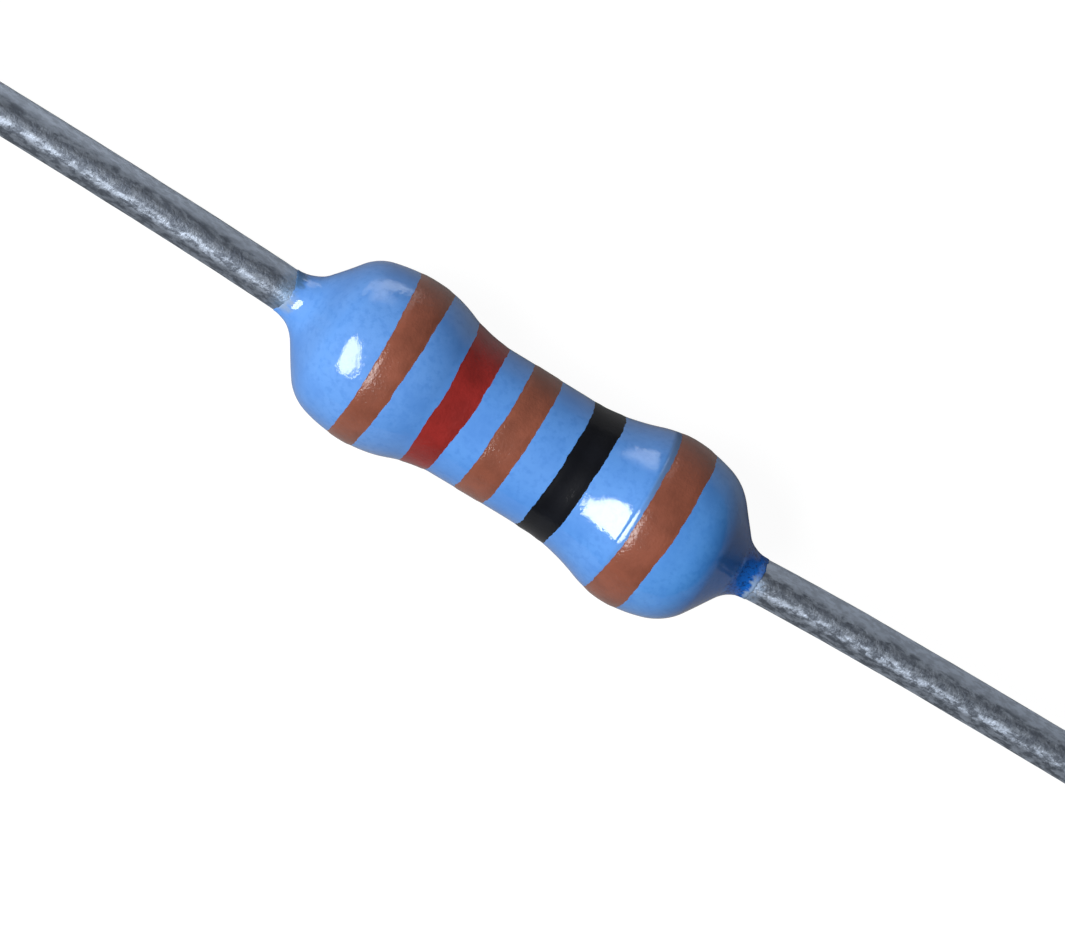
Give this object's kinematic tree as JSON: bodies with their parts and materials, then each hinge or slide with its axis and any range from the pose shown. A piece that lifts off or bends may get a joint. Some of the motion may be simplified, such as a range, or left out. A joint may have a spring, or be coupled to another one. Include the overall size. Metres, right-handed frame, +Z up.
{
  "type": "axial resistor",
  "caption": "Axial metal film resistor with a swollen lacquered body, painted value rings and a straight tinned lead at each end.",
  "frame": {"origin": "middle of the body, on the leads' axis", "axes": "+X along the leads towards the tolerance band, +Z up; the part is round about X"},
  "size_m": [0.0632, 0.0024, 0.0024],
  "materials": {
    "ceramic": "matte",
    "metal_film": "satin",
    "cap_steel": "satin",
    "tinned_copper": "satin tin plate",
    "blue_lacquer": "gloss",
    "brown_paint": "gloss",
    "red_paint": "gloss",
    "black_paint": "gloss"
  },
  "bodies": {
    "root": {"ceramic_rod": "ceramic", "resistive_film": "metal_film", "left_end_cap": "cap_steel", "right_end_cap": "cap_steel", "left_lead": "tinned_copper", "right_lead": "tinned_copper", "lacquer_body": "blue_lacquer", "first_digit_band": "brown_paint", "second_digit_band": "red_paint", "third_digit_band": "brown_paint", "multiplier_band": "black_paint", "tolerance_band": "brown_paint"}
  },
  "joints": []
}
